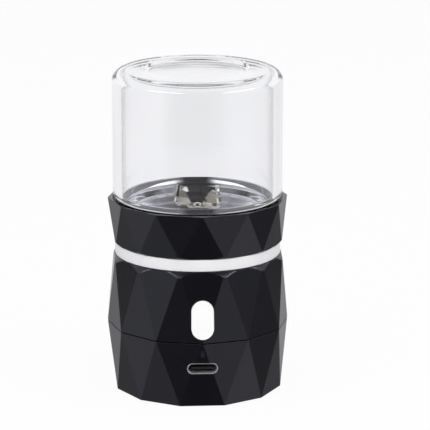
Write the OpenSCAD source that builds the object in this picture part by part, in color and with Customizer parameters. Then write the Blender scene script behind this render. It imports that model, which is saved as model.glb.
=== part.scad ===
// Rechargeable glass-chamber grinder: a twelve-sided base with its motor, cell and charging
// board, a white trim ring, and a glass jar in a faceted collar on a bayonet neck.
// Millimetres. Z is up, the origin is the centre of the foot, and the button faces -Y.

/* [Body] */
// Width across opposite corners at the seam between the two base shells
body_w = 53; // [50:0.5:58]
// How far each corner stands in at the bottom of the base
foot_step = 1.7; // [0:0.1:2.5]
// How far each corner stands in at the top of the base, before the shoulder is turned off
shoulder_step = 1.3; // [0:0.1:1.5]
// Number of sides of the base and the collar
sides = 12; // [12:2:16]
// Height of the seam above the table
seam_z = 19.8; // [18:0.2:21]
// Height of the base shells
base_h = 40.4; // [38:0.2:44]
// Thinnest wall of the base shells, at the foot
shell_wall = 1.75; // [1.4:0.05:2.2]
// Slope of the turned shoulder, outward for each millimetre down
shoulder_slope = 0.53; // [0.3:0.01:1]
// Height of the shadow gap cut round the seam
seam_gap = 0.25; // [0.1:0.05:0.6]
// Depth of the shadow gap cut round the seam
seam_depth = 0.7; // [0.3:0.1:1]

/* [Foot] */
// Thickness of the rubber foot ring
foot_t = 1; // [0.8:0.1:1.4]
// How far the foot ring stands below the base
foot_proud = 0.4; // [0.2:0.05:0.6]
// Width of the foot ring
foot_ring_w = 3.8; // [3.6:0.1:4.4]
// How far the foot ring lies in from the flat sides of the base
foot_edge = 2.55; // [2.3:0.05:2.8]
// Thickness of the bottom cover
cover_t = 2.2; // [2:0.1:2.6]

/* [Ring and collar] */
// Height of the white ring
ring_h = 3.5; // [3:0.1:5]
// Parting gap between the ring and the collar
part_gap = 0.15; // [0.1:0.05:0.3]
// Height of the collar
collar_h = 12.85; // [12:0.05:15]
// How far each corner of the collar's top stands in from the corners of the seam
collar_step = 0.3; // [0:0.1:0.6]
// How far each corner of the collar's foot stands in from the corners of the seam
collar_foot_step = 1.5; // [1:0.1:2]
// Wall of the collar at its foot
collar_wall = 1.6; // [1.2:0.1:1.8]
// Depth of the chamfer inside the collar's mouth
mouth_chamfer = 1.2; // [0.8:0.1:1.4]

/* [Jar] */
// Height of the whole grinder
total_h = 94.6; // [88:0.2:110]
// Wall of the jar
jar_wall = 2.9; // [2.6:0.1:3.2]
// Thickness of the jar's base, which is its top as the grinder stands
jar_base_t = 2; // [1.6:0.1:4]
// Outer corner radius of the jar's base
jar_corner_r = 3.6; // [3:0.1:4.5]
// Inner corner radius of the jar's base
jar_inner_corner_r = 1.2; // [0.6:0.1:2.4]
// How far the jar stands out past its mouth
jar_step = 1.35; // [1:0.05:1.5]
// Radius of the shoulder that draws the jar in to its mouth
jar_shoulder_r = 1.8; // [1.6:0.1:3]
// Ledge in the collar that the jar's mouth sits on
mouth_ledge = 0.85; // [0.6:0.05:1]
// How far the edge of the recess in the jar's base lies in from the jar's side
punt_edge = 10.55; // [8:0.05:14]
// Depth of that recess
punt_depth = 0.5; // [0.3:0.05:0.8]

/* [Bayonet neck] */
// Wall of the neck
neck_wall = 1.8; // [1.5:0.1:2]
// Running gap between the neck and the collar
neck_fit = 0.15; // [0.1:0.01:0.2]
// Height of the neck above the white ring
neck_h = 6.3; // [6:0.1:7]
// Number of bayonet lugs
lug_count = 3; // [2:1:4]
// Angle that each lug spans
lug_angle = 14; // [10:1:16]
// Height of a lug
lug_h = 1.6; // [1.2:0.1:1.8]
// How far a lug stands in from the collar's bore
lug_depth = 0.9; // [0.7:0.05:1]
// Height of the lugs above the white ring
lug_rise = 2.1; // [2:0.1:2.3]
// Turn that locks the collar
lock_angle = 30; // [20:1:36]

/* [Bowl and blade] */
// Gap between the steel bowl's rim and the jar
bowl_gap = 0.4; // [0.3:0.05:0.6]
// Height of the bowl's rim above the collar's top
bowl_rise = 1.5; // [1:0.1:2.5]
// Depth from the bowl's rim to its floor
bowl_depth = 4.7; // [4:0.1:5.2]
// Thickness of the bowl's sheet
bowl_t = 0.5; // [0.4:0.05:0.6]
// Reach of the blade, from its centre to its ends
blade_reach = 7.1; // [6.6:0.1:8.4]
// Width of the prong at each end of the blade
end_w = 2.6; // [2:0.1:3]
// Height of the prong at each end of the blade
end_h = 6.7; // [5:0.1:8]
// Radius of an end prong's tip
end_tip_r = 0.6; // [0.4:0.05:0.9]
// Width of the fin on the side of each arm
fin_w = 4.4; // [3.6:0.1:4.8]
// Height of the fins
fin_h = 4.7; // [4:0.1:7]
// Radius of a fin's tip
fin_tip_r = 0.9; // [0.6:0.05:1.1]
// Distance of the middle of a fin from the blade's centre, along the arm
fin_mid = 3.3; // [3:0.1:3.6]
// Distance of the fins from the middle line of the arms
fin_off = 2.2; // [2:0.1:2.6]
// Inward lean of the prongs and the fins
prong_lean = 9; // [0:1:12]
// Thickness of the blade's sheet
blade_t = 0.6; // [0.5:0.05:0.8]
// Turn of the arms from the left and right
blade_turn = -24; // [-90:1:90]

/* [Controls] */
// Width of the button
button_w = 6.4; // [5:0.1:7]
// Height of the button's lower end above the seam
button_low = 1.2; // [1:0.1:3]
// Distance of the button's upper end below the top of the base
button_drop = 8.2; // [8:0.1:11]
// Travel of the button
button_travel = 0.8; // [0.5:0.1:0.9]
// Gap round the button
button_gap = 0.12; // [0.08:0.01:0.2]
// Width of the charge light
light_w = 1.3; // [1:0.1:2]
// Height of the charge light
light_h = 2.1; // [1.5:0.1:2.6]
// Width of the charging socket
usb_w = 8.94; // [8.94:0.01:8.94]
// Height of the charging socket
usb_h = 3.26; // [3.26:0.01:3.26]
// Length of the charging socket
usb_len = 7.35; // [6.5:0.05:7.5]
// Height of the charging socket's centre above the table
usb_z = 12.03; // [11:0.01:13]
// How far the socket's mouth lies behind the face of the base
usb_inset = 0.375; // [0.2:0.025:0.6]

/* [Drive and power] */
// Radius of the motor can
motor_r = 12.2; // [10:0.1:12.6]
// Gap between the main board and the motor
motor_gap = 1.6; // [1:0.1:3]
// Radius of the motor shaft
shaft_r = 1; // [0.75:0.05:1.15]
// Radius of the drive hub in its bush
hub_r = 2; // [1.8:0.05:2.2]
// Running clearance of a shaft in its bearing
run_fit = 0.04; // [0.02:0.01:0.08]
// Thickness of the deck that carries the motor
deck_t = 2.2; // [1.8:0.1:2.6]
// Thickness of the circuit boards
board_t = 1.6; // [1:0.1:1.8]
// Width of the cell
cell_w = 23; // [18:0.5:25]
// Gap between the ends of the cell and the screw bosses
cell_gap = 1.6; // [1.5:0.1:3]
// Thickness of the foam pad between the cell and the main board
cell_pad_t = 1.1; // [0.6:0.1:2]

/* [Hidden] */
$fn = 96;

EPS = 0.01;                 // overlap that makes a cut or a union run through
BIG = 60;                   // longer than anything that is cut
fit = 0.1;                  // gap of a part that is set in another and stays there
step = 360 / sides;         // angle between two corners
flat = cos(step / 2);       // share of the corner radius at the middle of a side

seam_r = body_w / 2;
foot_r = seam_r - foot_step;
shoulder_r = seam_r - shoulder_step;
collar_r = seam_r - collar_step;
collar_foot_r = seam_r - collar_foot_step;
bore_r = foot_r * flat - shell_wall;
ring_r = collar_foot_r * flat;

// Heights, from the table up
base_z = foot_proud;
foot_seat_z = foot_t;
foot_outer_r = foot_r * flat - foot_edge;
foot_inner_r = foot_outer_r - foot_ring_w;
cover_screw_r = (foot_inner_r + foot_outer_r) / 2;   // the foot ring hides the screws
cover_top = base_z + cover_t;
ring_top = base_h + ring_h;
collar_z = ring_top + part_gap;
collar_top = collar_z + collar_h;
neck_top = ring_top + neck_h;
mouth_z = neck_top + 0.4;
gasket_t = 0.4;
rim_z = collar_top + bowl_rise;
floor_z = rim_z - bowl_depth;
board_top = usb_z - usb_h / 2;
board_z = board_top - board_t;

// The shells and the neck
spigot_h = 1.8;
spigot_t = 1.2;
boss_r = 2.4;
screw_r = 0.95;
screw_len = 4.4;
pilot_gap = 0.15;           // how much smaller than its screw a hole in plastic is
head_r = 1.8;
head_h = 1.2;
key_r = 0.9;
key_depth = 0.6;
tab_t = 2;
tab_r = 2.8;
skirt_h = 4.8;
skirt_z = base_h - skirt_h;
tab_z = skirt_z - tab_t - fit;
collar_bore = ring_r - collar_wall;
neck_r = collar_bore - neck_fit;
neck_screw_r = neck_r - 3.8;
neck_screw_turns = [60, 180, 300];
clamp_t = 0.8;
clamp_r = ring_r - 0.75;
deck_top = ring_top + 0.7;
deck_z = deck_top - deck_t;
lug_z = ring_top + lug_rise;
slot_floor_r = collar_bore - lug_depth - neck_fit;
slot_clear = 0.2;
slot_margin = 1.5;

// The jar
mouth_r = collar_bore + mouth_ledge;
jar_r = mouth_r + jar_step;
jar_bore_r = jar_r - jar_wall;
punt_r = jar_r - punt_edge;

// The bowl and what seals and drives its blade
bowl_r = jar_bore_r - bowl_gap;
bowl_floor_r = bowl_r - 3.2;
pad_t = 0.6;
pad_top = floor_z - bowl_t;
pad_z = pad_top - pad_t;
pedestal_r = bowl_floor_r - 0.25;
pedestal_wall = 1.8;
pedestal_top_t = 1.7;
bush_r = 3.5;
bush_flange_r = 5.4;
bush_flange_t = 0.4;
bush_nut_t = 2;
bush_z = pad_z - pedestal_top_t - bush_nut_t - 1.8;
seal_r = 2.9;
seal_h = 2;
blade_z = floor_z + bush_flange_t + 0.2;
stud_r = 1.3;
blade_top = blade_z + blade_t;
blade_bend = 0.5;

// The motor
motor_z = board_top + motor_gap;
motor_len = deck_z - motor_z;
can_wall = 0.8;
cap_t = 2.4;
can_z = motor_z + 1.4;
pilot_r = 3.4;
pilot_h = 1.7;
motor_screw_at = 7.5;
motor_screw_r = 1.22;
motor_head_r = 2.1;
motor_head_h = 1.3;
bearing_r = 2.6;
terminal_at = 8;
terminal_t = 0.5;
terminal_w = 2;
magnet_t = 1.8;
magnet_z = motor_z + 8;
magnet_h = motor_len - 12.4;
magnet_half = 65;           // half the angle of a magnet
core_r = motor_r - can_wall - fit - magnet_t - 0.5;
core_z = magnet_z + 2.5;
core_h = magnet_h - 5;
poles = 3;
pole_half = 36;             // half the angle of the pocket between two poles
pocket_r = 3.4;
coil_wall = 1.2;
commutator_z = motor_z + 3.6;
bearing_h = 1.5;

// The front of the base: the button, its switch, the light and the socket
button_proud = 0.1;
button_z = (seam_z + button_low + base_h - button_drop) / 2;
button_h = base_h - button_drop - seam_z - button_low;
flange_w = 1;
flange_t = 1;
flange_y = -(bore_r - 0.6);
switch_face = flange_y + 2.6;
switch_d = 2.5;
switch_w = 6;
plunger_r = 1.5;
plunger_out = button_travel;
switch_board_w = 14;
switch_board_y = switch_face + switch_d;
usb_t = 0.3;
usb_back_t = 0.8;
light_z = (usb_z + usb_h / 2 + seam_z - seam_gap) / 2;
led_w = 2;
led_h = 1.25;
led_t = 0.8;

// The boards and the cell
board_r = bore_r - 0.6;
cell_l = 2 * (cover_screw_r - boss_r - cell_gap);
cell_z = cover_top + fit;
cell_t = board_z - cell_pad_t - cell_z;
// Parts on the board: turn from the front, distance in from the edge, width, depth, height
on_board = [[180, 1.6, 6, 5, 3], [143, 1.4, 4, 4, 1.4], [-141, 2.1, 4.4, 3, 1.6],
    [81, 5.4, 1.2, 2, 0.9], [-81, 5.4, 1.2, 2, 0.9]];

function polar(r, a, z = 0) = [r * sin(a), -r * cos(a), z];

// The front line of the base: in at the foot, out at the seam and in again at the shoulder
function face_y(z) = z > seam_z
    ? -(seam_r - (z - seam_z) * (seam_r - shoulder_r * flat) / (base_h - seam_z))
    : -(seam_r - (seam_z - z) * (seam_r - foot_r * flat) / (seam_z - base_z));
usb_mouth_y = face_y(usb_z) + usb_inset;

// A ring of revolution between two radii and two heights
module tube(r0, r1, z0, z1) {
    translate([0, 0, z0]) difference() {
        cylinder(r = r1, h = z1 - z0);
        translate([0, 0, -1]) cylinder(r = r0, h = z1 - z0 + 2);
    }
}

// A sector of a ring, between two angles counted from the front
module sector(r0, r1, a0, a1, z0, z1) {
    rotate([0, 0, a0 - 90]) rotate_extrude(angle = a1 - a0)
        translate([r0, z0]) square([r1 - r0, z1 - z0]);
}

// A band of triangles between two polygons that are half a side out of step
module facet_band(z0, r0, turn0, z1, r1) {
    low = [for (i = [0 : sides - 1]) polar(r0, turn0 + i * step, z0)];
    high = [for (i = [0 : sides - 1]) polar(r1, turn0 + (i + 0.5) * step, z1)];
    up = [for (i = [0 : sides - 1]) [i, sides + i, (i + 1) % sides]];
    down = [for (i = [0 : sides - 1]) [sides + i, sides + (i + 1) % sides, (i + 1) % sides]];
    polyhedron(concat(low, high),
        concat(up, down, [[for (i = [0 : sides - 1]) i]],
            [[for (i = [sides - 1 : -1 : 0]) sides + i]]));
}

// Draws a flat outline in X and Z, from y0 back to y1
module along_y(y0, y1) {
    translate([0, y1, 0]) rotate([90, 0, 0]) linear_extrude(y1 - y0) children();
}

// An outline with half-round ends: width, height and the height of its centre
module obround(w, h, z) {
    end_r = min(w, h) / 2;
    translate([0, z]) union() {
        square([max(w - 2 * end_r, w > h ? 0 : w), h > w ? h - 2 * end_r : h], center = true);
        for (s = [-1, 1]) translate(w > h ? [s * (w / 2 - end_r), 0] : [0, s * (h / 2 - end_r)])
            circle(r = end_r);
    }
}

// A rounded rectangle standing on z0
module slab(l, w, r, z0, t) {
    translate([0, 0, z0]) linear_extrude(t) union() {
        square([l - 2 * r, w], center = true);
        square([l, w - 2 * r], center = true);
        for (x = [-1, 1], y = [-1, 1]) translate([x * (l / 2 - r), y * (w / 2 - r)]) circle(r = r);
    }
}

// Repeats its children at turns counted from the front, at radius r
module at_turns(turns, r) {
    for (a = turns) rotate([0, 0, a]) translate([0, -r, 0]) children();
}

quarters = [0, 90, 180, 270];

// ---- the foot and the base shells ----

module foot_ring() {
    color("#26262a") tube(foot_inner_r, foot_outer_r, 0, foot_seat_z);
}

module bottom_cover() {
    color("#1c1c20") difference() {
        translate([0, 0, base_z]) cylinder(r = bore_r - fit, h = cover_t);
        tube(foot_inner_r - fit, foot_outer_r + fit, base_z - 1, foot_seat_z);
        at_turns(quarters, cover_screw_r) {
            cylinder(r = head_r + fit, h = foot_seat_z + head_h);
            cylinder(r = screw_r + fit, h = cover_top + 1);
        }
    }
}

module cover_screws() {
    color("#8a8a90") at_turns(quarters, cover_screw_r) {
        translate([0, 0, foot_seat_z]) difference() {
            cylinder(r = head_r, h = head_h - EPS);
            translate([0, 0, -EPS]) cylinder(r = key_r, h = key_depth, $fn = 6);
        }
        translate([0, 0, foot_seat_z + head_h / 2]) cylinder(r = screw_r, h = screw_len);
    }
}

module lower_shell() {
    color("#1e1f23") difference() {
        union() {
            difference() {
                facet_band(base_z, foot_r, step / 2, seam_z, seam_r);
                cylinder(r = bore_r, h = BIG);
            }
            at_turns(quarters, cover_screw_r) translate([0, 0, cover_top]) {
                cylinder(r = boss_r, h = board_z - cover_top);
                translate([-1, cover_screw_r - bore_r - 0.5, 0])
                    cube([2, bore_r + 0.5 - cover_screw_r, board_z - cover_top]);
            }
        }
        at_turns(quarters, cover_screw_r) translate([0, 0, cover_top - 1])
            cylinder(r = screw_r - pilot_gap, h = board_z - cover_top);
        // shadow gap under the seam
        tube(seam_r * flat - seam_depth, BIG, seam_z - seam_gap, seam_z + 1);
        along_y(-BIG, -foot_r / 2) obround(usb_w + 2 * fit, usb_h + 2 * fit, usb_z);
        along_y(-BIG, -foot_r / 2) obround(light_w + 2 * fit, light_h + 2 * fit, light_z);
    }
}

module upper_shell() {
    shoulder_base_r = ring_r + 0.2;
    color("#1e1f23") difference() {
        union() {
            difference() {
                intersection() {
                    facet_band(seam_z, seam_r, 0, base_h, shoulder_r);
                    rotate_extrude() polygon([[0, seam_z - 1], [BIG, seam_z - 1],
                        [BIG, base_h - (BIG - shoulder_base_r) / shoulder_slope],
                        [shoulder_base_r, base_h], [0, base_h]]);
                }
                translate([0, 0, seam_z - 1]) cylinder(r = bore_r + fit * 3, h = BIG);
            }
            // spigot that plugs into the lower shell
            tube(bore_r - fit - spigot_t, bore_r - fit, seam_z - spigot_h, seam_z + spigot_h);
            tube(bore_r - fit - EPS, bore_r + 1, seam_z, seam_z + spigot_h);
            // tabs that the neck is screwed to
            intersection() {
                at_turns(neck_screw_turns, neck_screw_r) translate([0, 0, tab_z]) {
                    cylinder(r = tab_r, h = tab_t);
                    translate([-tab_r, -BIG / 4, 0]) cube([2 * tab_r, BIG / 4, tab_t]);
                }
                cylinder(r = bore_r + 1, h = BIG);
            }
        }
        at_turns(neck_screw_turns, neck_screw_r) cylinder(r = screw_r + fit, h = BIG);
        along_y(-BIG, -foot_r / 2)
            obround(button_w + 2 * button_gap, button_h + 2 * button_gap, button_z);
        // seat of the button's flange
        along_y(flange_y - fit - 0.4, -foot_r / 2)
            obround(button_w + 2 * flange_w + 0.4, button_h + 2 * flange_w + 0.4, button_z);
    }
}

module white_ring() {
    color("#f2f2f2") difference() {
        tube(neck_r + fit, ring_r, base_h, ring_top);
        tube(0, clamp_r + fit, ring_top - clamp_t - fit / 2, ring_top + 1);
    }
}

// ---- the neck ----

module bayonet_slots() {
    for (i = [0 : lug_count - 1]) {
        a = i * 360 / lug_count;
        half = lug_angle / 2 + slot_margin;
        sector(slot_floor_r, neck_r + 1, a - half, a + half, lug_z - slot_clear, BIG);
        sector(slot_floor_r, neck_r + 1, a - half, a + half + lock_angle,
            lug_z - slot_clear, lug_z + lug_h + slot_clear);
    }
}

module neck() {
    color("#1a1b1f") difference() {
        union() {
            tube(neck_r - neck_wall, neck_r, skirt_z, neck_top);
            tube(neck_r - neck_wall, clamp_r, ring_top - clamp_t, ring_top);
            translate([0, 0, deck_z]) cylinder(r = neck_r - 1, h = deck_t);
            at_turns(neck_screw_turns, neck_screw_r) translate([0, 0, skirt_z])
                cylinder(r = boss_r, h = deck_z - skirt_z + 0.5);
            tube(pedestal_r - pedestal_wall, pedestal_r, deck_top - EPS, pad_z);
            translate([0, 0, pad_z - pedestal_top_t]) cylinder(r = pedestal_r - 1, h = pedestal_top_t);
        }
        bayonet_slots();
        translate([0, 0, deck_z - 1]) cylinder(r = pilot_r + fit, h = deck_t + 2);
        translate([0, 0, deck_top + 1]) cylinder(r = bush_r + fit, h = BIG);
        for (x = [-1, 1]) translate([x * motor_screw_at, 0, deck_z - 1])
            cylinder(r = motor_screw_r + run_fit + fit, h = deck_t + 2);
        at_turns(neck_screw_turns, neck_screw_r) translate([0, 0, skirt_z - 1])
            cylinder(r = screw_r - pilot_gap, h = deck_z - skirt_z);
    }
}

module neck_screws() {
    color("#8a8a90") at_turns(neck_screw_turns, neck_screw_r) {
        translate([0, 0, tab_z - head_h]) difference() {
            cylinder(r = head_r, h = head_h - EPS);
            translate([0, 0, -EPS]) cylinder(r = key_r, h = key_depth, $fn = 6);
        }
        translate([0, 0, tab_z - head_h / 2]) cylinder(r = screw_r, h = tab_t + screw_len - 0.4);
    }
}

module neck_seal() {
    color("#b9bcc0") tube(neck_r + 0.05, clamp_r - 0.15, ring_top + 0.03, ring_top + 0.8);
}

// ---- the bowl, its bush and seals ----

module bowl_gasket() {
    color("#b9bcc0") tube(bush_r + fit, pedestal_r - 0.6, pad_z, pad_top);
}

// Section of the bowl: an upright rim, a rolled step, and a wall that rounds into the floor
module bowl_section() {
    step_z = rim_z - 1.85;
    turn_r = 1.5;
    inner = [[bush_r + fit, floor_z], [bowl_floor_r, floor_z],
        for (a = [-75 : 25 : 0])
            [bowl_floor_r + turn_r * cos(a), floor_z + turn_r + turn_r * sin(a)],
        [bowl_r - 1.3, step_z - 0.25], [bowl_r - 1.05, step_z], [bowl_r - 0.75, step_z + 0.2],
        [bowl_r - 0.6, step_z + 0.55], [bowl_r - bowl_t, rim_z - 0.2]];
    outer = [[bowl_r - bowl_t / 2, rim_z], [bowl_r, rim_z - 0.2], [bowl_r - 0.05, step_z + 0.1],
        [bowl_r - 0.6, step_z - 0.55], [bowl_r - 1.2, floor_z + 1.2],
        for (a = [0 : -25 : -75]) [bowl_floor_r + (turn_r + bowl_t) * cos(a),
            floor_z + turn_r + (turn_r + bowl_t) * sin(a)],
        [bowl_floor_r, floor_z - bowl_t], [bush_r + fit, floor_z - bowl_t]];
    polygon(concat(inner, outer));
}

module steel_bowl() {
    color("#c9cbd0") rotate_extrude() bowl_section();
}

module bowl_bush() {
    color("#b08d57") difference() {
        union() {
            translate([0, 0, bush_z]) cylinder(r = bush_r, h = floor_z - bush_z + EPS);
            translate([0, 0, floor_z]) cylinder(r = bush_flange_r, h = bush_flange_t);
        }
        translate([0, 0, bush_z - 1]) cylinder(r = hub_r + run_fit, h = BIG);
        translate([0, 0, bush_z - 1]) cylinder(r = seal_r, h = seal_h + 1.1);
    }
}

module bush_nut() {
    color("#9a9aa0") translate([0, 0, pad_z - pedestal_top_t - bush_nut_t]) difference() {
        cylinder(r = 5.8, h = bush_nut_t, $fn = 6);
        translate([0, 0, -1]) cylinder(r = bush_r + 0.02, h = bush_nut_t + 2);
    }
}

module shaft_seal() {
    color("#2a2a2a") tube(hub_r + run_fit, seal_r - 0.02, bush_z, bush_z + seal_h);
}

// ---- the motor ----

module motor_can() {
    inner_r = motor_r - can_wall;
    color("#a9acb2") difference() {
        union() {
            translate([0, 0, can_z]) cylinder(r = motor_r, h = deck_z - can_z);
            translate([0, 0, deck_z - EPS]) cylinder(r = pilot_r, h = pilot_h);
        }
        translate([0, 0, can_z - 1]) cylinder(r = inner_r, h = deck_z - can_z + 1 - can_wall);
        translate([0, 0, deck_z - can_wall - 1]) cylinder(r = bearing_r, h = BIG);
        for (x = [-1, 1]) translate([x * motor_screw_at, 0, deck_z - 2])
            cylinder(r = motor_screw_r + run_fit, h = 3);
    }
}

module front_bearing() {
    color("#b08d57") tube(shaft_r + run_fit, bearing_r - 0.02, deck_z - can_wall,
        deck_z + pilot_h);
}

module motor_cap() {
    color("#e6e4dc") difference() {
        union() {
            translate([0, 0, motor_z]) cylinder(r = motor_r - 0.2, h = can_z - motor_z);
            translate([0, 0, can_z - EPS]) cylinder(r = motor_r - can_wall - fit, h = cap_t - 1.4);
        }
        translate([0, 0, motor_z - 1]) cylinder(r = shaft_r + 0.6, h = BIG);
        translate([0, 0, motor_z + cap_t - bearing_h]) cylinder(r = bearing_r, h = BIG);
        for (x = [-1, 1]) translate([x * terminal_at, 0, motor_z])
            cube([terminal_t + 2 * fit, terminal_w + 2 * fit, BIG], center = true);
    }
}

module rear_bearing() {
    color("#b08d57") tube(shaft_r + run_fit, bearing_r - 0.02, motor_z + cap_t - bearing_h,
        motor_z + cap_t);
}

module motor_magnets() {
    outer_r = motor_r - can_wall - 0.02;
    color("#3a3a3e") for (a = [0, 180])
        sector(outer_r - magnet_t, outer_r, a - magnet_half, a + magnet_half, magnet_z,
            magnet_z + magnet_h);
}

module motor_terminals() {
    color("#c8a24a") for (x = [-1, 1])
        translate([x * terminal_at, 0, (board_z + motor_z + cap_t) / 2])
            cube([terminal_t, terminal_w, motor_z + cap_t - board_z], center = true);
}

module motor_screws() {
    color("#8a8a90") for (x = [-1, 1]) translate([x * motor_screw_at, 0, deck_top]) {
        cylinder(r = motor_head_r, h = motor_head_h);
        translate([0, 0, -deck_t - can_wall + fit])
            cylinder(r = motor_screw_r, h = deck_t + can_wall);
    }
}

// ---- what the motor turns ----

module motor_shaft() {
    color("#d0d2d6") translate([0, 0, motor_z + 0.3])
        cylinder(r = shaft_r, h = bush_z + 3.4 - motor_z);
}

module armature_core() {
    slot_w = 1.6;
    color("#6d6f74") translate([0, 0, core_z]) difference() {
        cylinder(r = core_r, h = core_h);
        translate([0, 0, -1]) cylinder(r = shaft_r + 0.01, h = core_h + 2);
        for (i = [0 : poles - 1]) rotate([0, 0, (i + 0.5) * 360 / poles]) {
            sector(pocket_r, core_r - coil_wall, -pole_half, pole_half, -1, core_h + 1);
            translate([-slot_w / 2, -core_r - 1, -1]) cube([slot_w, 3, core_h + 2]);
        }
    }
}

module armature_coils() {
    end_h = 1.6;
    half = pole_half - 1;
    color("#b5652a") {
        for (i = [0 : poles - 1]) rotate([0, 0, (i + 0.5) * 360 / poles])
            sector(pocket_r + fit, core_r - coil_wall - fit, -half, half, core_z - end_h,
                core_z + core_h + end_h);
        for (z = [core_z - end_h - fit, core_z + core_h + fit])
            tube(pocket_r + 0.6, core_r - coil_wall - 0.5, z, z + end_h);
    }
}

module commutator() {
    color("#c77b3a") tube(shaft_r + 0.01, 2.4, commutator_z, core_z - 1.8);
}

module drive_hub() {
    hub_z = deck_z + pilot_h + 0.4;
    color("#c4c6cb") difference() {
        translate([0, 0, hub_z]) cylinder(r = hub_r, h = blade_z - hub_z);
        translate([0, 0, hub_z - 1]) cylinder(r = shaft_r + 0.01, h = bush_z + 3.8 - hub_z + 1);
        translate([0, 0, blade_z - 3]) cylinder(r = 0.7, h = 4);
    }
}

// Outline of a prong: two foot corners and a round tip, which may stand to one side
module prong_outline(w, h, r, tip_x) {
    tip_z = h - r;
    right_foot = [tip_x - w / 2, tip_z];
    left_foot = [tip_x + w / 2, tip_z];
    right = atan2(right_foot.y, right_foot.x) - asin(r / norm(right_foot)) - 90;
    left = atan2(left_foot.y, left_foot.x) + asin(r / norm(left_foot)) + 90;
    polygon(concat([[-w / 2, 0], [w / 2, 0]],
        [for (i = [0 : 6]) let(a = right + (left - right) * i / 6)
            [tip_x + r * cos(a), tip_z + r * sin(a)]]));
}

// A strip from the middle out to -Y, the round of its bend, and the prong that stands there
module prong(w, reach, h, r, tip_x) {
    y = blade_bend + blade_t - reach;
    stand_z = blade_z + blade_t + blade_bend;
    translate([-w / 2, y, blade_z]) cube([w, -y, blade_t]);
    translate([-w / 2, y + EPS, stand_z]) rotate([90, 0, 90]) linear_extrude(w) intersection() {
        difference() {
            circle(r = blade_bend + blade_t);
            circle(r = blade_bend);
        }
        polygon([[0, 0], [-BIG, BIG * tan(prong_lean)], [-BIG, -BIG], [0, -BIG]]);
    }
    translate([0, y, stand_z]) rotate([-prong_lean, 0, 0]) translate([0, -blade_bend, -EPS])
        rotate([90, 0, 0]) linear_extrude(blade_t)
            prong_outline(w, h - blade_bend - blade_t, r, tip_x);
}

module blade() {
    fin_tip_x = fin_tip_r + 0.5 - fin_w / 2;
    color("#d6d8dc") rotate([0, 0, blade_turn]) difference() {
        union() {
            for (turn = [0, 180]) rotate([0, 0, turn]) {
                rotate([0, 0, -90]) prong(end_w, blade_reach, end_h, end_tip_r, 0);
                translate([-fin_mid, 0, 0]) prong(fin_w, fin_off, fin_h, fin_tip_r, fin_tip_x);
            }
            translate([0, 0, blade_z]) cylinder(r = 3.2, h = blade_t);
        }
        translate([0, 0, blade_z - 1]) cylinder(r = 0.95, h = blade_t + 2);
    }
}

module blade_screw() {
    color("#b8babf") {
        translate([0, 0, blade_top]) intersection() {
            cylinder(r = 1.5, h = 0.8);
            translate([0, 0, -1.5]) sphere(r = 2.2);
        }
        translate([0, 0, blade_top - 3.2]) cylinder(r = 0.69, h = 3.3);
    }
}

// ---- the cell and the boards ----

module battery() {
    color("#9fb4c8") slab(cell_l, cell_w, 1.5, cell_z, cell_t);
}

module battery_pad() {
    color("#3b3b3f") slab(cell_l - 5, cell_w - 5, 1, cell_z + cell_t, cell_pad_t - 0.02);
}

// Leads of the cell: points along the run, in the plane of X and Z
lead_r = 0.55;
lead_y = 4.2;
lead_rise = cell_t / 2 + cell_pad_t;

function lead_path(y) = [for (t = [0 : 0.125 : 1])
    [cell_l / 2 + 0.02 + 1.3 * sin(90 * min(1, t * 1.6)), y,
     cell_z + cell_t / 2 + lead_rise * (1 - cos(90 * t)) - 0.02 * t]];

function ring_at(p, q, r, n) = let(d = (q - p) / norm(q - p), u = [0, 1, 0], v = cross(d, u))
    [for (k = [0 : n - 1]) p + r * (cos(k * 360 / n) * u + sin(k * 360 / n) * v)];

module swept(path, r, n = 8) {
    last = len(path) - 1;
    rings = [for (i = [0 : last]) i < last ? ring_at(path[i], path[i + 1], r, n)
        : ring_at(path[i], 2 * path[i] - path[i - 1], r, n)];
    pts = [for (g = rings) each g];
    sides_f = [for (i = [0 : last - 1], k = [0 : n - 1])
        [i * n + k, i * n + (k + 1) % n, (i + 1) * n + (k + 1) % n, (i + 1) * n + k]];
    polyhedron(pts, concat(sides_f, [[for (k = [n - 1 : -1 : 0]) k]],
        [[for (k = [0 : n - 1]) last * n + k]]));
}

module battery_leads() {
    color("#b3201f") for (y = [-lead_y, lead_y]) swept(lead_path(y), lead_r);
}

module main_board() {
    color("#1f5c3a") difference() {
        translate([0, 0, board_z]) cylinder(r = board_r, h = board_t);
        for (x = [-1, 1]) translate([x * terminal_at, 0, board_z + board_t / 2])
            cube([terminal_t + 2 * fit, terminal_w + 2 * fit, board_t + 2], center = true);
    }
}

module board_parts() {
    color("#2c2c30") for (p = on_board)
        rotate([0, 0, p[0]]) translate([-p[2] / 2, p[1] - board_r, board_top])
            cube([p[2], p[3], p[4]]);
}

module switch_board() {
    color("#1f5c3a") translate([-switch_board_w / 2, switch_board_y, board_top])
        cube([switch_board_w, board_t, button_z + switch_w / 2 + 1.5 - board_top]);
}

module push_switch() {
    color("#303034") difference() {
        translate([-switch_w / 2, switch_face, button_z - switch_w / 2])
            cube([switch_w, switch_d, switch_w]);
        along_y(switch_face - 1, switch_face + 1.9)
            translate([0, button_z]) circle(r = plunger_r + 0.06);
    }
}

module switch_plunger() {
    color("#e8e8e8") along_y(switch_face - plunger_out, switch_face + 1)
        translate([0, button_z]) circle(r = plunger_r);
}

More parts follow.
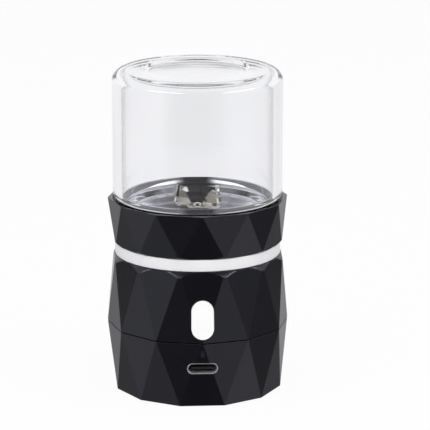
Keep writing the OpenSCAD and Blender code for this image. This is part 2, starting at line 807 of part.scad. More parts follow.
module power_button() {
    face_top = button_z + button_h / 2 + 1;
    face_bottom = button_z - button_h / 2 - 1;
    color("#fafafa") {
        intersection() {
            along_y(-BIG, flange_y + 0.2) obround(button_w, button_h, button_z);
            rotate([90, 0, 90]) translate([0, 0, -button_w]) linear_extrude(2 * button_w)
                polygon([[face_y(face_bottom) - button_proud, face_bottom],
                    [flange_y + 0.2, face_bottom], [flange_y + 0.2, face_top],
                    [face_y(face_top) - button_proud, face_top]]);
        }
        along_y(flange_y, flange_y + flange_t)
            obround(button_w + 2 * flange_w, button_h + 2 * flange_w, button_z);
        along_y(flange_y + flange_t / 2, switch_face - plunger_out - 0.02)
            translate([0, button_z]) circle(r = plunger_r);
    }
}

module usb_shell() {
    color("#c9cbd0") difference() {
        along_y(usb_mouth_y, usb_mouth_y + usb_len) obround(usb_w, usb_h, usb_z);
        along_y(usb_mouth_y - 1, usb_mouth_y + usb_len - usb_back_t)
            obround(usb_w - 2 * usb_t, usb_h - 2 * usb_t, usb_z);
    }
}

module usb_tongue() {
    back = usb_mouth_y + usb_len - usb_back_t;
    color("#141416") {
        along_y(usb_mouth_y + 0.6, back - EPS) translate([0, usb_z])
            square([usb_w - 2 * usb_t - 1.74, 0.7], center = true);
        along_y(back - 1.2, back - EPS)
            obround(usb_w - 2 * usb_t - 0.04, usb_h - 2 * usb_t - 0.04, usb_z);
    }
}

module charge_led() {
    color("#f4f4e8") translate([-led_w / 2, switch_board_y - led_t, light_z - led_h / 2])
        cube([led_w, led_t, led_h]);
}

module light_pipe() {
    color("#8e9096") along_y(face_y(light_z) + 0.05, switch_board_y - led_t - fit)
        obround(light_w, light_h, light_z);
}

// ---- the jar and its collar ----

module collar() {
    mouth_in = mouth_r + fit;
    opening_r = mouth_in + mouth_chamfer + 0.1;
    color("#1e1f23") difference() {
        union() {
            difference() {
                intersection() {
                    facet_band(collar_z, collar_foot_r, step / 2, collar_top, collar_r);
                    // turns the bottom edge round, over the white ring
                    rotate_extrude() polygon([[0, collar_z], [ring_r + 0.15, collar_z],
                        [ring_r + 0.15 + BIG, collar_z + BIG], [0, collar_z + BIG]]);
                }
                translate([0, 0, collar_z - 1]) cylinder(r = collar_bore, h = BIG);
            }
            for (i = [0 : lug_count - 1]) {
                a = i * 360 / lug_count;
                sector(collar_bore - lug_depth, collar_bore + 0.5, a - lug_angle / 2,
                    a + lug_angle / 2, lug_z, lug_z + lug_h);
            }
        }
        // seat of the jar's mouth, and the chamfer round it
        translate([0, 0, mouth_z - gasket_t]) cylinder(r = mouth_in, h = BIG);
        translate([0, 0, collar_top - mouth_chamfer])
            cylinder(r1 = mouth_in, r2 = opening_r, h = mouth_chamfer + EPS);
        // rebate over the neck seal
        tube(0, clamp_r + fit, collar_z - 1, ring_top + 0.95);
    }
}

module jar_gasket() {
    color("#c9ccd0") tube(collar_bore + 0.05, mouth_r, mouth_z - gasket_t, mouth_z);
}

// Section of the jar: a straight wall, a round shoulder to the mouth, and a recessed base
module jar_section() {
    bend = acos(1 - jar_step / jar_shoulder_r);
    shoulder_z = collar_top + jar_shoulder_r;
    base_in_z = total_h - jar_base_t;
    polygon(concat(
        [[jar_bore_r + 0.3, mouth_z], [mouth_r - 0.4, mouth_z], [mouth_r, mouth_z + 0.4]],
        [for (i = [0 : 6]) let(a = bend * (1 - i / 6))
            [jar_r - jar_shoulder_r * (1 - cos(a)), shoulder_z - jar_shoulder_r * sin(a)]],
        [for (i = [0 : 10]) let(a = 9 * i)
            [jar_r - jar_corner_r * (1 - cos(a)), total_h - jar_corner_r * (1 - sin(a))]],
        [[punt_r + 1.2, total_h], [punt_r + 0.5, total_h - punt_depth / 4],
            [punt_r, total_h - punt_depth * 0.8], [punt_r - 0.8, total_h - punt_depth],
            [0, total_h - punt_depth]],
        [[0, base_in_z]],
        [for (i = [0 : 6]) let(a = 90 - 15 * i)
            [jar_bore_r - jar_inner_corner_r * (1 - cos(a)),
             base_in_z - jar_inner_corner_r * (1 - sin(a))]],
        [[jar_bore_r, mouth_z + 0.3]]));
}

module glass_jar() {
    color([0.85, 0.9, 0.92, 0.35]) rotate_extrude() jar_section();
}

foot_ring();
bottom_cover();
cover_screws();
lower_shell();
upper_shell();
white_ring();
neck();
neck_screws();
neck_seal();
bowl_gasket();
steel_bowl();
bowl_bush();
bush_nut();
shaft_seal();
motor_can();
motor_cap();
motor_magnets();
motor_terminals();
motor_screws();
front_bearing();
rear_bearing();
motor_shaft();
armature_core();
armature_coils();
commutator();
drive_hub();
blade();
blade_screw();
battery();
battery_pad();
battery_leads();
main_board();
board_parts();
switch_board();
push_switch();
switch_plunger();
power_button();
usb_shell();
usb_tongue();
charge_led();
light_pipe();
collar();
jar_gasket();
glass_jar();
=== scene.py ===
# %% [markdown]
# # A small glass-chamber grinder
#
# The grinder is a faceted black base, a white trim ring, a faceted collar and an upside-down
# glass jar over a steel bowl with an upright blade. The CAD model brings every piece at its
# real size, so this notebook only dresses it: finishes for all of it, and finer surfaces for
# the three turned pieces whose reflections would show the CAD mesh's flats.

# %% Load the frame
import math

import bmesh
import bpy
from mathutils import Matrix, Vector


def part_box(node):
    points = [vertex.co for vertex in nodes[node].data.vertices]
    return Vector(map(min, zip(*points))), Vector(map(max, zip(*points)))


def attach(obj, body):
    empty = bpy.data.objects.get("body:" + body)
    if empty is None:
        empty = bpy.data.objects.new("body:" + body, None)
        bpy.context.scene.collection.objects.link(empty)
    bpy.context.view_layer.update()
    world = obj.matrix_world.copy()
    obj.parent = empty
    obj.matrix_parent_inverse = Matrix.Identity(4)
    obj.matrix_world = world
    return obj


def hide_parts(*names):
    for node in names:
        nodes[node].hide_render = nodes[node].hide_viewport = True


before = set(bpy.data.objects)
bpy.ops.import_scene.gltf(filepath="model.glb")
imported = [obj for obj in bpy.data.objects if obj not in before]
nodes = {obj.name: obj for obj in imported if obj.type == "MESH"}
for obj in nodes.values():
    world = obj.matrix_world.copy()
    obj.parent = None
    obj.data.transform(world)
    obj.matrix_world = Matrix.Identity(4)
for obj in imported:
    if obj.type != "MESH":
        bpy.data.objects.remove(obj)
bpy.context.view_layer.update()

MM = 0.001

# %% [markdown]
# ## Where things are
#
# A lathe piece needs a few radii and heights. Those that another piece fixes are read from the
# frame, so that the visible glass still meets the collar if the model is packed again.

# %% Sizes read from the frame
def low(node):
    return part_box(node)[0] / MM


def high(node):
    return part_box(node)[1] / MM


jar_top = high("glass_jar").z
jar_foot = low("glass_jar").z
jar_r = high("glass_jar").x
collar_top = high("collar").z
ring_low, ring_high, ring_r = low("white_ring").z, high("white_ring").z, high("white_ring").x
rim_z, bowl_r = high("steel_bowl").z, high("steel_bowl").x
print("jar radius", round(jar_r, 2), "from", round(jar_foot, 2), "to", round(jar_top, 2))

# %% [markdown]
# ## The camera
#
# The lens is long and stands well back, a little to the left and above, so the facets keep
# almost parallel edges. The camera is aimed beside the grinder instead of being shifted, so
# other views of the scene stay centred.

# %% Camera
LENS = 214.0             # millimetres on a 36 mm sensor
DISTANCE = 747.0 * MM    # from the middle of the grinder
TURN = math.radians(-3.141)
TILT = math.radians(14.353)
MIDDLE = Vector((0, 0, 48.41 * MM))
ASIDE = 5.095 * MM       # how far the aim lies to the right of the middle
ABOVE = 2.554 * MM       # and above it

back = Vector((math.sin(TURN) * math.cos(TILT), -math.cos(TURN) * math.cos(TILT), math.sin(TILT)))
right = Vector((math.cos(TURN), math.sin(TURN), 0))
up = back.cross(right)
eye = MIDDLE + back * DISTANCE
aim = MIDDLE + right * ASIDE + up * ABOVE

camera = bpy.data.objects.new("camera", bpy.data.cameras.new("camera"))
bpy.context.scene.collection.objects.link(camera)
camera.data.lens = LENS
camera.data.clip_start, camera.data.clip_end = 0.05, 10
camera.location = eye
camera.rotation_euler = (aim - eye).to_track_quat("-Z", "Y").to_euler()
bpy.context.scene.camera = camera
print("camera at", [round(c, 3) for c in eye])

# %% [markdown]
# ## Turning a piece on the lathe
#
# Bowl, ring and jar are all bodies of revolution. A section is a closed list of (radius,
# height) points in millimetres; each point is swept into a ring of vertices and neighbouring
# rings are joined with quads. A point on the axis becomes a single vertex, so the cap is a
# clean fan. Edges sharper than 40 degrees stay crisp.

# %% Lathe
AROUND = 192             # steps round the axis
ON_AXIS = 1e-6
CRISP = math.radians(40)


def arc(cx, cz, r, start, stop, steps):
    """Points on a circle about (cx, cz), from start to stop in degrees."""
    turns = [math.radians(start + (stop - start) * i / steps) for i in range(steps + 1)]
    return [(cx + r * math.cos(t), cz + r * math.sin(t)) for t in turns]


def lathe(name, section, around=AROUND):
    """A solid turned about the upright axis from a closed list of (radius, height)."""
    mesh = bmesh.new()
    rings = []
    for r, z in section:
        count = 1 if r < ON_AXIS else around
        rings.append([mesh.verts.new((r * MM * math.cos(2 * math.pi * k / around),
                                      r * MM * math.sin(2 * math.pi * k / around), z * MM))
                      for k in range(count)])
    for one, two in zip(rings, rings[1:] + rings[:1]):
        for k in range(around):
            m = (k + 1) % around
            corners = [one[k % len(one)], one[m % len(one)], two[m % len(two)], two[k % len(two)]]
            unique = list(dict.fromkeys(corners))
            if len(unique) > 2:
                mesh.faces.new(unique)
    bmesh.ops.recalc_face_normals(mesh, faces=mesh.faces)
    data = bpy.data.meshes.new(name)
    mesh.to_mesh(data)
    mesh.free()
    data.shade_smooth()
    data.set_sharp_from_angle(angle=CRISP)
    made = bpy.data.objects.new(name, data)
    bpy.context.scene.collection.objects.link(made)
    print(name, "has", len(data.polygons), "faces")
    return made


# %% [markdown]
# ## Shader helpers
#
# Every finish is a Principled shader. `finish` makes one from plain numbers, and `grain` adds
# what a real surface has on top: a fine bump and a slight drift of roughness. Both read object
# coordinates, so the pattern stays on the piece when the collar turns.

# %% Material helpers
def finish(name, colour, roughness, **sockets):
    """A Principled material; other sockets go by name, with _ for a space."""
    material = bpy.data.materials.new(name)
    material.use_nodes = True
    shader = material.node_tree.nodes["Principled BSDF"]
    shader.inputs["Base Color"].default_value = (*colour, 1)
    shader.inputs["Roughness"].default_value = roughness
    for socket, value in sockets.items():
        shader.inputs[socket.replace("_", " ")].default_value = value
    return material


def grain(material, size, bump, depth, drift=0.0, stretch=(1, 1, 1)):
    """size and depth in millimetres; bump is the strength; drift is added to the roughness."""
    tree = material.node_tree
    shader = tree.nodes["Principled BSDF"]
    place = tree.nodes.new("ShaderNodeTexCoord")
    scale = tree.nodes.new("ShaderNodeMapping")
    scale.inputs["Scale"].default_value = stretch
    noise = tree.nodes.new("ShaderNodeTexNoise")
    noise.inputs["Scale"].default_value = 1 / (size * MM)
    noise.inputs["Detail"].default_value = 3
    lift = tree.nodes.new("ShaderNodeBump")
    lift.inputs["Strength"].default_value = bump
    lift.inputs["Distance"].default_value = depth * MM
    tree.links.new(place.outputs["Object"], scale.inputs["Vector"])
    tree.links.new(scale.outputs["Vector"], noise.inputs["Vector"])
    tree.links.new(noise.outputs["Fac"], lift.inputs["Height"])
    tree.links.new(lift.outputs["Normal"], shader.inputs["Normal"])
    if drift:
        base = shader.inputs["Roughness"].default_value
        span = tree.nodes.new("ShaderNodeMapRange")
        span.inputs["To Min"].default_value = base - drift
        span.inputs["To Max"].default_value = base + drift
        broad = tree.nodes.new("ShaderNodeTexNoise")
        broad.inputs["Scale"].default_value = 1 / (6 * MM)
        tree.links.new(scale.outputs["Vector"], broad.inputs["Vector"])
        tree.links.new(broad.outputs["Fac"], span.inputs["Value"])
        tree.links.new(span.outputs["Result"], shader.inputs["Roughness"])
    return material


def dress(material, *names):
    """Put the material on the CAD nodes of these names."""
    for name in names:
        slots = nodes[name].data.materials
        slots.clear()
        slots.append(material)
    print(material.name, "on", ", ".join(names))


# %% [markdown]
# ## Black shells
#
# Collar and base are moulded ABS with a satin tool finish: nearly black, with a soft sheen that
# lets each facet catch the room at its own angle. The mould also leaves every edge with a hair
# of radius, and that hair is what draws a fine bright line along it. The CAD mesh comes with
# its faces split apart at the edges, so a weld modifier joins them before a bevel modifier
# rounds them. The mesh itself stays as it is.

# %% Shell finish
shell_black = finish("shell_black", (0.0042, 0.0043, 0.0056), 0.25, IOR=1.5,
                     Specular_Tint=(0.86, 0.87, 1.0, 1.0))
grain(shell_black, size=0.16, bump=0.12, depth=0.02, drift=0.03)


def soften(name, width, angle=9, clamp=False):
    """Round the edges sharper than angle by width in millimetres."""
    seam = nodes[name].modifiers.new("one skin", "WELD")
    seam.merge_threshold = 0.001 * MM
    edge = nodes[name].modifiers.new("moulded edge", "BEVEL")
    edge.width = width * MM
    edge.segments = 2
    edge.limit_method = "ANGLE"
    edge.angle_limit = math.radians(angle)
    edge.harden_normals = True
    edge.use_clamp_overlap = clamp


MOULD_RADIUS = 0.12
SHELLS = ("lower_shell", "upper_shell", "collar")
dress(shell_black, *SHELLS)
for shell in SHELLS:
    soften(shell, MOULD_RADIUS)

# %% [markdown]
# ## Inner plastics
#
# The neck shows faintly through the glass, and the cover and foot show from below. They come
# from a rougher tool than the shells, so they are matt and a little greyer.

# %% Inner plastic and rubber
inner_black = grain(finish("inner_black", (0.008, 0.008, 0.009), 0.5), 0.12, 0.2, 0.03, 0.05)
dress(inner_black, "neck", "bottom_cover")
foot_rubber = grain(finish("foot_rubber", (0.014, 0.014, 0.015), 0.75), 0.08, 0.35, 0.04, 0.06)
dress(foot_rubber, "foot_ring", "shaft_seal")
silicone = finish("seal_silicone", (0.62, 0.64, 0.66), 0.42, Subsurface_Weight=0.3)
grain(silicone, 0.3, 0.1, 0.02)
dress(silicone, "neck_seal", "bowl_gasket", "jar_gasket")

# %% [markdown]
# ## White ring and button
#
# The ring is a plain turned band with softened corners. It is lathed again here with many more
# sides, because a bright edge against black shows every flat.

# %% White ring
RING_IN = 22.9
ROUND = 0.25             # radius of the softened corners
STEP_WIDE = 0.7          # the step inside its top edge, where the neck passes
STEP_DEEP = 0.9
ring_foot = ring_low + 0.02
ring_section = (
    [(RING_IN, ring_foot)]
    + arc(ring_r - ROUND, ring_foot + ROUND, ROUND, -90, 0, 4)
    + arc(ring_r - ROUND, ring_high - ROUND, ROUND, 0, 90, 4)
    + [(RING_IN + STEP_WIDE, ring_high), (RING_IN + STEP_WIDE, ring_high - STEP_DEEP)]
    + [(RING_IN, ring_high - STEP_DEEP)]
)
trim_ring = lathe("trim_ring", ring_section)
ring_white = grain(finish("ring_white", (0.84, 0.84, 0.85), 0.3), 0.4, 0.05, 0.02, 0.05)
trim_ring.data.materials.append(ring_white)
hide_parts("white_ring")
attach(trim_ring, "base")

# %% Button
button_white = grain(finish("button_white", (0.96, 0.96, 0.96), 0.35), 0.3, 0.06, 0.02, 0.05)
dress(button_white, "power_button")
soften("power_button", 0.3, 40, clamp=True)

# %% [markdown]
# ## Steel bowl
#
# The bowl is drawn from thin sheet: an upright rim, a rolled step, a wall that rounds into a
# flat floor. Polished steel is all reflection, so the section is drawn with real curves and
# lathed finely.

# %% Bowl polish
RINGS_TO_SCALE = 0.314   # turns a ring's pitch into the wave node's scale


def polish_rings(material, pitch, bump, depth):
    """Fine uneven rings round the axis, as a polishing wheel leaves them; all in millimetres."""
    tree = material.node_tree
    place = tree.nodes.new("ShaderNodeTexCoord")
    waves = tree.nodes.new("ShaderNodeTexWave")
    waves.wave_type = "RINGS"
    waves.rings_direction = "Z"
    waves.inputs["Scale"].default_value = RINGS_TO_SCALE / (pitch * MM)
    waves.inputs["Distortion"].default_value = 3.0
    waves.inputs["Detail"].default_value = 2.0
    waves.inputs["Detail Scale"].default_value = 0.5
    lift = tree.nodes.new("ShaderNodeBump")
    lift.inputs["Strength"].default_value = bump
    lift.inputs["Distance"].default_value = depth * MM
    tree.links.new(place.outputs["Object"], waves.inputs["Vector"])
    tree.links.new(waves.outputs["Fac"], lift.inputs["Height"])
    tree.links.new(lift.outputs["Normal"], tree.nodes["Principled BSDF"].inputs["Normal"])


bowl_steel = finish("bowl_steel", (0.84, 0.84, 0.87), 0.045, Metallic=1.0)
polish_rings(bowl_steel, pitch=0.7, bump=0.3, depth=0.012)
print(bowl_steel.name, "is ready")

# %% Bowl
SHEET = 0.5              # thickness of the sheet
HUB_HOLE = 3.6
ROLL = 0.85              # radius of the rolled step
step_z = rim_z - 1.85
floor_z = rim_z - 4.7
lip_z = rim_z - 0.22
bowl_section = (
    [(HUB_HOLE, floor_z), (10, floor_z)]
    + arc(bowl_r - 2.85, floor_z + 0.8, 0.8, -90, -7, 8)
    + arc(bowl_r - 1.05, step_z - ROLL, ROLL, 173, 80, 14)
    + [(bowl_r - 0.84, step_z + 0.1), (bowl_r - SHEET, lip_z)]
    + arc(bowl_r - SHEET / 2, rim_z - 0.25, SHEET / 2, 180, 0, 8)
    + [(bowl_r - 0.05, step_z + 0.45), (bowl_r - 0.3, step_z - 0.05)]
    + [(bowl_r - 0.85, step_z - 0.6), (bowl_r - 1.3, step_z - 1.0)]
    + arc(bowl_r - 3.35, floor_z + 1.4, 1.9, -5, -90, 10)
    + [(HUB_HOLE, floor_z - SHEET)]
)
bowl = lathe("bowl", bowl_section)
bowl.data.materials.append(bowl_steel)
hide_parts("steel_bowl")
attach(bowl, "base")

# %% [markdown]
# ## Blade and the metal inside
#
# The blade is stamped and bent from polished sheet and shines warmer than the bowl. The other
# metal parts are never seen with the jar on, but they keep a true finish for a view with the
# jar lifted or the base cut open.

# %% Metals
blade_steel = finish("blade_steel", (0.93, 0.9, 0.82), 0.07, Metallic=1.0)
grain(blade_steel, 0.5, 0.1, 0.02, 0.03, stretch=(1, 1, 0.2))
dress(blade_steel, "blade", "blade_screw")
soften("blade", 0.05, 30, clamp=True)
plain_steel = finish("plain_steel", (0.56, 0.57, 0.59), 0.32, Metallic=1.0)
grain(plain_steel, 0.2, 0.15, 0.02, 0.08)
dress(plain_steel, "cover_screws", "neck_screws", "motor_screws", "bush_nut", "motor_can",
      "motor_shaft", "armature_core", "drive_hub", "bowl_bush")
socket_steel = finish("socket_steel", (0.8, 0.8, 0.82), 0.3, Metallic=0.75)
grain(socket_steel, 0.2, 0.08, 0.02, 0.05)
dress(socket_steel, "usb_shell")
soften("usb_shell", 0.06, 40, clamp=True)
bronze = grain(finish("bronze", (0.5, 0.34, 0.15), 0.4, Metallic=1.0), 0.1, 0.3, 0.02, 0.08)
dress(bronze, "front_bearing", "rear_bearing", "motor_terminals")
copper = finish("copper", (0.62, 0.25, 0.1), 0.35, Metallic=1.0)
grain(copper, 0.3, 0.5, 0.1, 0.05, stretch=(1, 1, 6))
dress(copper, "armature_coils", "commutator")
magnet_grey = grain(finish("magnet_grey", (0.06, 0.06, 0.065), 0.6), 0.1, 0.4, 0.03, 0.05)
dress(magnet_grey, "motor_magnets")

# %% [markdown]
# ## Boards, cell and small plastics
#
# These lie inside the base and never show from outside, apart from the tongue in the charging
# socket and the end of the light pipe. Each gets the plain colour that such a part has. The
# light pipe is almost black, because the charge light is off.

# %% Electronics
board_green = grain(finish("board_green", (0.012, 0.1, 0.04), 0.35), 0.5, 0.1, 0.02, 0.08)
dress(board_green, "main_board", "switch_board")
part_black = grain(finish("part_black", (0.012, 0.012, 0.013), 0.45), 0.1, 0.2, 0.02, 0.05)
dress(part_black, "board_parts", "push_switch", "usb_tongue")
cell_wrap = grain(finish("cell_wrap", (0.3, 0.4, 0.5), 0.35, Metallic=0.4), 1.2, 0.25, 0.1, 0.08)
dress(cell_wrap, "battery")
pad_foam = grain(finish("pad_foam", (0.03, 0.03, 0.033), 0.9), 0.25, 0.8, 0.1, 0.05)
dress(pad_foam, "battery_pad")
lead_red = grain(finish("lead_red", (0.42, 0.012, 0.012), 0.4), 0.4, 0.1, 0.02, 0.05)
dress(lead_red, "battery_leads")
cap_plastic = grain(finish("cap_plastic", (0.7, 0.69, 0.64), 0.45), 0.2, 0.15, 0.02, 0.05)
dress(cap_plastic, "motor_cap", "switch_plunger", "charge_led")
light_grey = grain(finish("light_grey", (0.013, 0.013, 0.016), 0.3), 0.3, 0.05, 0.02, 0.04)
dress(light_grey, "light_pipe")

# %% [markdown]
# ## Glass jar
#
# The jar is pressed glass with a heavy wall. Glass shows its thickness only if it is a true
# solid with both faces, so the section runs up the outside, over the base with its shallow
# recess, and down the bore. The mouth draws in where the collar holds it.

# %% Jar
WALL = 2.9
BASE = 2.0
CORNER = 3.6             # radius of the corner round the top
INNER_CORNER = 1.2
PUNT_R, PUNT_DEEP = 14.2, 0.5
MOUTH_R = 23.4
LIP_ROUND = 0.5
LIP_BEVEL = 0.35
SHOULDER = 1.8           # radius of the shoulder that draws the jar in to its mouth
bore = jar_r - WALL
bend = math.degrees(math.acos(1 - (jar_r - MOUTH_R) / SHOULDER))
jar_section = (
    [(bore + LIP_BEVEL, jar_foot), (MOUTH_R - LIP_ROUND, jar_foot)]
    + arc(MOUTH_R - LIP_ROUND, jar_foot + LIP_ROUND, LIP_ROUND, -90, 0, 4)[1:]
    + arc(jar_r - SHOULDER, collar_top + SHOULDER, SHOULDER, -bend, 0, 12)
    + arc(jar_r - CORNER, jar_top - CORNER, CORNER, 0, 90, 16)
    + [(PUNT_R + 1.6, jar_top), (PUNT_R + 0.9, jar_top - 0.05)]
    + [(PUNT_R + 0.35, jar_top - 0.2), (PUNT_R, jar_top - 0.38), (PUNT_R - 0.5, jar_top - 0.47)]
    + [(PUNT_R - 1.2, jar_top - PUNT_DEEP), (0, jar_top - PUNT_DEEP), (0, jar_top - BASE)]
    + arc(bore - INNER_CORNER, jar_top - BASE - INNER_CORNER, INNER_CORNER, 90, 0, 10)
    + [(bore, jar_foot + LIP_BEVEL)]
)
jar = lathe("jar", jar_section, around=256)
clear_glass = finish("clear_glass", (0.965, 0.966, 0.98), 0.0, Transmission_Weight=1.0, IOR=1.47)
grain(clear_glass, size=9.0, bump=0.03, depth=0.3)
jar.data.materials.append(clear_glass)
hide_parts("glass_jar")
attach(jar, "chamber")

# %% [markdown]
# ## Floor
#
# The floor is a big pale sheet. Where only the eye looks at it, it is nearly pure white, but it
# keeps some of its own shading so the grinder still has a shadow to stand on. A reflection
# looks straight through it, to the part of the room that lies below the horizon.

# %% Node helpers
def maths(tree, operation, *values):
    node = tree.nodes.new("ShaderNodeMath")
    node.operation = operation
    for slot_index, value in enumerate(values):
        if isinstance(value, (int, float)):
            node.inputs[slot_index].default_value = value
        else:
            tree.links.new(value, node.inputs[slot_index])
    return node.outputs[0]


# %% Floor
HALF = 2.0               # metres from the middle to each edge
GLOW = 0.95              # share of plain white in the floor that the eye sees

floor_mesh = bpy.data.meshes.new("floor")
corners = [(-HALF, -HALF, 0), (HALF, -HALF, 0), (HALF, HALF, 0), (-HALF, HALF, 0)]
floor_mesh.from_pydata(corners, [], [(0, 1, 2, 3)])
floor = bpy.data.objects.new("floor", floor_mesh)
bpy.context.scene.collection.objects.link(floor)
floor_white = finish("floor_white", (0.9, 0.9, 0.9), 0.9)
tree = floor_white.node_tree
seen = tree.nodes.new("ShaderNodeLightPath")
glow = tree.nodes.new("ShaderNodeEmission")
glow.inputs["Strength"].default_value = 1.0
blend = tree.nodes.new("ShaderNodeMixShader")
eye_or_glass = maths(tree, "MAXIMUM", seen.outputs["Is Camera Ray"],
                     seen.outputs["Is Transmission Ray"])
tree.links.new(maths(tree, "MULTIPLY", eye_or_glass, GLOW), blend.inputs[0])
tree.links.new(tree.nodes["Principled BSDF"].outputs[0], blend.inputs[1])
tree.links.new(glow.outputs[0], blend.inputs[2])
absent = tree.nodes.new("ShaderNodeMixShader")
tree.links.new(maths(tree, "MINIMUM", seen.outputs["Glossy Depth"], 1), absent.inputs[0])
tree.links.new(blend.outputs[0], absent.inputs[1])
tree.links.new(tree.nodes.new("ShaderNodeBsdfTransparent").outputs[0], absent.inputs[2])
tree.links.new(absent.outputs[0], tree.nodes["Material Output"].inputs["Surface"])
floor_mesh.materials.append(floor_white)
print("the floor is", 2 * HALF, "m wide")

# %% [markdown]
# ## The room
#
# Black satin facets and polished steel show the room, not a lamp. The room here is painted on
# the sky as rings of soft panels, by compass direction from the front: dark in front, where
# the camera stands, and white behind. A facet that overhangs mirrors the deepest ring, an
# upright one the low ring and one that leans back the shallow ring, so each facet gets a panel
# of its own.

# %% Rings that the facets mirror
DEEP_RING = [(-180, 1.0), (-150, 0.8), (-124, 0.18), (-89, 0.7), (-61, 0.48), (-28, 0.11),
             (4, 0.035), (20, 0.3), (34, 0.66), (68, 0.85), (95, 0.22), (130, 0.2),
             (156, 0.72), (180, 1.0)]
LOW_RING = [(-180, 1.0), (-150, 0.57), (-124, 0.3), (-89, 0.73), (-61, 0.5), (-28, 0.12),
            (4, 0.04), (20, 0.3), (34, 0.71), (68, 0.45), (95, 0.14), (130, 0.25),
            (156, 0.72), (180, 1.0)]
SHALLOW_RING = [(-180, 1.0), (-150, 0.85), (-116, 0.08), (-89, 0.6), (-57, 0.8), (-28, 0.12),
                (4, 0.04), (20, 0.25), (34, 0.55), (63, 0.24), (95, 0.13), (122, 0.05),
                (156, 0.7), (180, 1.0)]
HIGH_RING = [(-180, 1.0), (-135, 1.0), (-80, 0.85), (-45, 0.4), (-22, 0.05), (22, 0.05), (45, 0.4),
             (80, 0.85), (135, 1.0), (180, 1.0)]
OVERHEAD = 0.9
print("the facets have", len(DEEP_RING), "panels in each ring")

# %% An empty room
world = bpy.data.worlds.new("room")
world.use_nodes = True
bpy.context.scene.world = world
tree = world.node_tree
direction = tree.nodes.new("ShaderNodeTexCoord")
split = tree.nodes.new("ShaderNodeSeparateXYZ")
tree.links.new(direction.outputs["Generated"], split.inputs[0])
x, y, z = split.outputs
compass = maths(tree, "ARCTAN2", x, maths(tree, "MULTIPLY", y, -1))
around = maths(tree, "ADD", maths(tree, "DIVIDE", compass, 2 * math.pi), 0.5)
print("the room's sky has", len(tree.nodes), "nodes so far")

# %% Room helpers
BLUE = 1.03              # the panels are a little cool


def ring(levels):
    """A strip of panels round the room, from (degrees, brightness) pairs; 0 is the front."""
    ramp = tree.nodes.new("ShaderNodeValToRGB")
    ramp.color_ramp.interpolation = "EASE"
    stops = ramp.color_ramp.elements
    while len(stops) < len(levels):
        stops.new(0.5)
    for stop, (turn, level) in zip(stops, levels):
        stop.position = (turn + 180) / 360
        stop.color = (level, level, level * BLUE, 1)
    tree.links.new(around, ramp.inputs[0])
    return ramp.outputs[0]


def between(value, start, stop):
    """0 on the near side of start and 1 beyond stop, with a soft step."""
    step = tree.nodes.new("ShaderNodeMapRange")
    step.interpolation_type = "SMOOTHSTEP"
    step.inputs["From Min"].default_value = start
    step.inputs["From Max"].default_value = stop
    tree.links.new(value, step.inputs["Value"])
    return step.outputs[0]


def rise(start, stop):
    """The same step by height over the horizon, in degrees."""
    return between(z, math.sin(math.radians(start)), math.sin(math.radians(stop)))


def both(one, two):
    return maths(tree, "MULTIPLY", one, two)


def mixed(share, one, two):
    """one where share is 0 and two where it is 1; each a socket or a plain brightness."""
    mix = tree.nodes.new("ShaderNodeMix")
    mix.data_type = "RGBA"
    tree.links.new(share, mix.inputs["Factor"])
    for socket, value in (("A", one), ("B", two)):
        if isinstance(value, (int, float)):
            mix.inputs[socket].default_value = (value, value, value, 1)
        else:
            tree.links.new(value, mix.inputs[socket])
    return mix.outputs["Result"]


# %% Room that the facets mirror
room = mixed(rise(-24, -19), ring(DEEP_RING), ring(LOW_RING))
room = mixed(rise(-13, -9), room, ring(SHALLOW_RING))
room = mixed(rise(-2, 6), room, ring(HIGH_RING))
room = mixed(rise(50, 65), room, OVERHEAD)
print("four rings and the sky overhead are joined")

# %% [markdown]
# ## What the bowl mirrors
#
# The bowl curves through every slope, so a mirrored room is squeezed into a few bright and dark
# bands. Its wall shows the horizon. Its rim shows a dark ring above that with a bright panel on
# top, which draws a dark band with a white line under it along the back. Its floor shows the
# dim ring over the panel, and the crest of its step the white ceiling. A dark arch runs from
# the front up over the top, and draws the black stripe down the middle of the steel that tells
# the eye it is polished. Behind it, a gap in the arch lights the crest of the rolled step, and
# a narrow dark blind low at the back breaks into streaks on the nearest part of the floor.

# %% Rings that the bowl mirrors
RIM_RING = [(-180, 0.5), (-140, 0.4), (-115, 1.2), (-85, 1.5), (-60, 1.5), (-38, 1.3),
            (-24, 0.35), (0, 0.06), (24, 0.35), (40, 1.3), (60, 1.5), (85, 1.5), (115, 1.2),
            (140, 0.4), (180, 0.5)]
WALL_RING = [(-180, 0.9), (-130, 0.6), (-95, 0.34), (-76, 0.24), (-57, 0.34), (-37, 0.22),
             (-20, 0.1), (0, 0.02), (23, 0.1), (43, 0.14), (63, 0.18), (82, 0.22), (101, 0.34),
             (135, 0.6), (180, 0.9)]
LOW_RIM = 0.15           # brightness of the dark ring under the rim's panels
CEILING = 1.0
ARCH = 0.018
BLIND = 0.1

walls = ring(WALL_RING)
over_horizon = rise(1, 4)
over_bowl = mixed(over_horizon, walls, ring(RIM_RING))
over_bowl = mixed(rise(25, 28), over_bowl, walls)
over_bowl = mixed(both(over_horizon, between(z, 0.312, 0.304)), over_bowl, LOW_RIM)
over_bowl = mixed(rise(50, 58), over_bowl, CEILING)
print("the bowl has", len(RIM_RING), "and", len(WALL_RING), "panels")

# %% Arch and blind over the bowl
gap = both(between(y, 0.5, 0.6), between(z, 0.3, 0.4))
arch = both(between(maths(tree, "ABSOLUTE", x), 0.46, 0.28), maths(tree, "SUBTRACT", 1, gap))
over_bowl = mixed(arch, over_bowl, ARCH)
low_band = both(between(z, 0.19, 0.22), between(z, 0.29, 0.26))
over_bowl = mixed(both(low_band, between(y, 0.3, 0.6)), over_bowl, BLIND)
print("the arch reflects", ARCH, "and the blind", BLIND)

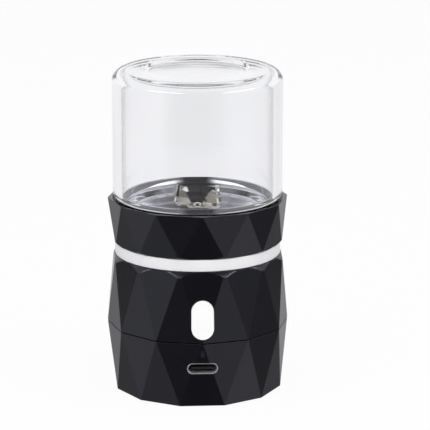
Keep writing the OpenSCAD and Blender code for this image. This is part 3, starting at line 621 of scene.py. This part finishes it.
# %% [markdown]
# ## Who sees the room
#
# Light Path tells the room what kind of ray asks. The eye gets a plain white backdrop, straight
# or through the glass, and matt surfaces get an even grey. A reflection gets the room. A ray
# that has crossed four glass faces went in through the jar's wall, met the bowl and came out
# again. One with another count ran on inside the wall, and comes out to a plain light grey,
# unless it leaves low at the front, where the dark of the room is.

# %% Backdrop for each ray
IN_THE_WALL = 0.95
LOW_FRONT = 0.08
AMBIENT = 0.36
FACES_TO_THE_BOWL = 4    # the jar's wall going in and coming out

seen = tree.nodes.new("ShaderNodeLightPath")
mirrored = maths(tree, "MINIMUM", seen.outputs["Glossy Depth"], 1)
crossed = seen.outputs["Transmission Depth"]
from_outside = maths(tree, "COMPARE", crossed, 0, 0.1)
from_bowl = maths(tree, "COMPARE", crossed, FACES_TO_THE_BOWL, 0.1)
in_wall = maths(tree, "SUBTRACT", 1, maths(tree, "MAXIMUM", from_outside, from_bowl))
straight = both(seen.outputs["Is Transmission Ray"], maths(tree, "SUBTRACT", 1, mirrored))
plain = maths(tree, "MAXIMUM", seen.outputs["Is Camera Ray"], straight)
low_front = both(between(y, -0.5, -0.85), between(z, 0.1, -0.1))
shown = mixed(in_wall, room, mixed(low_front, IN_THE_WALL, LOW_FRONT))
shown = mixed(from_bowl, shown, over_bowl)
shown = mixed(seen.outputs["Is Diffuse Ray"], shown, AMBIENT)
shown = mixed(plain, shown, 1.0)
tree.links.new(shown, tree.nodes["Background"].inputs["Color"])
print("the room takes", len(tree.nodes), "nodes")

# %% [markdown]
# ## Lamps
#
# Two wide, low strips stand high at the front corners. They are what draws the thin bright line
# along a turned shoulder or a rounded seam, so reflections may see them, but not through glass,
# where they would show as squares in the bowl. Two more lamps, which no reflection sees, light
# the white ring from the front and the floor from overhead.

# %% Lamps
LAMP_AWAY = 0.9          # metres from the middle of the grinder


def lamp(name, turn, height, size, power, mirrored=True):
    """An area lamp aimed at the grinder; turn and height in degrees, size in metres."""
    light = bpy.data.lights.new(name, "AREA")
    light.shape = "RECTANGLE"
    light.size, light.size_y = size
    light.energy = power
    made = bpy.data.objects.new(name, light)
    bpy.context.scene.collection.objects.link(made)
    a, e = math.radians(turn), math.radians(height)
    away = Vector((math.sin(a) * math.cos(e), -math.cos(a) * math.cos(e), math.sin(e)))
    made.location = MIDDLE + away * LAMP_AWAY
    made.rotation_euler = (-away).to_track_quat("-Z", "Y").to_euler()
    made.visible_glossy = mirrored
    made.visible_transmission = False
    print(name, "gives", power, "W")


lamp("left_strip", -50, 26, (0.8, 0.07), 2.8)
lamp("right_strip", 58, 26, (0.8, 0.07), 2.8)
lamp("front_lamp", 4, 30, (0.4, 0.4), 0.5, mirrored=False)
lamp("top_lamp", 0, 80, (0.6, 0.6), 2.3, mirrored=False)
bpy.context.scene.view_settings.view_transform = "Standard"

# %% [markdown]
# ## Bounces
#
# Light in a heavy glass corner is thrown from face to face many times before it gets out. With
# the few bounces that suit a plain scene it would be dropped there, and the corner would be
# black.

# %% Bounces for thick glass
cycles = bpy.context.scene.cycles
cycles.glossy_bounces = cycles.transmission_bounces = 16
cycles.max_bounces = 24
print("light may bounce", cycles.max_bounces, "times")
